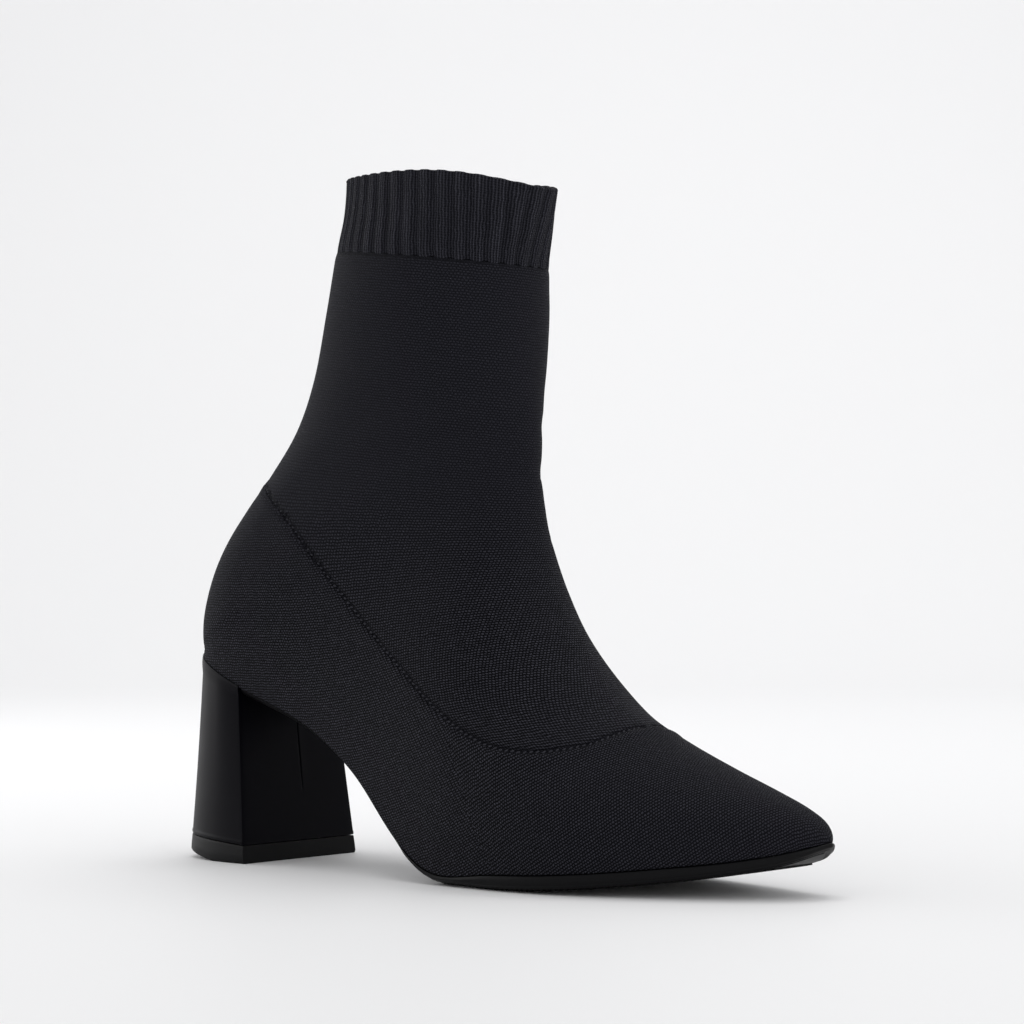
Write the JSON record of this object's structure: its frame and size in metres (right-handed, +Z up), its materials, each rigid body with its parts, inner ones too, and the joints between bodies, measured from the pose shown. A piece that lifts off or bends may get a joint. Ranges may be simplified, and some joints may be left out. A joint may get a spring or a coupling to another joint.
{
  "type": "block heel ankle boot",
  "caption": "Right ankle boot with a hollow knitted sock upper, ribbed cuff and back seam, on a thin moulded sole with a covered block heel, lift and insole, to be worn on the foot",
  "frame": {"origin": "centre of the boot's footprint box, on the floor under the sole", "axes": "+X toward the toe, +Y toward the inner side of the foot, +Z up through the collar"},
  "size_m": [0.2534, 0.0798, 0.2313],
  "materials": {
    "knit": "black stretch knit, matt",
    "sole_rubber": "moulded, satin",
    "heel_cover": "smooth covered block, satin",
    "lift_rubber": "hard rubber, matt",
    "insole_sock": "woven sock over board, matt"
  },
  "bodies": {
    "root": {"upper": "knit", "outsole": "sole_rubber", "heel_block": "heel_cover", "heel_lift": "lift_rubber", "insole": "insole_sock"}
  },
  "joints": []
}
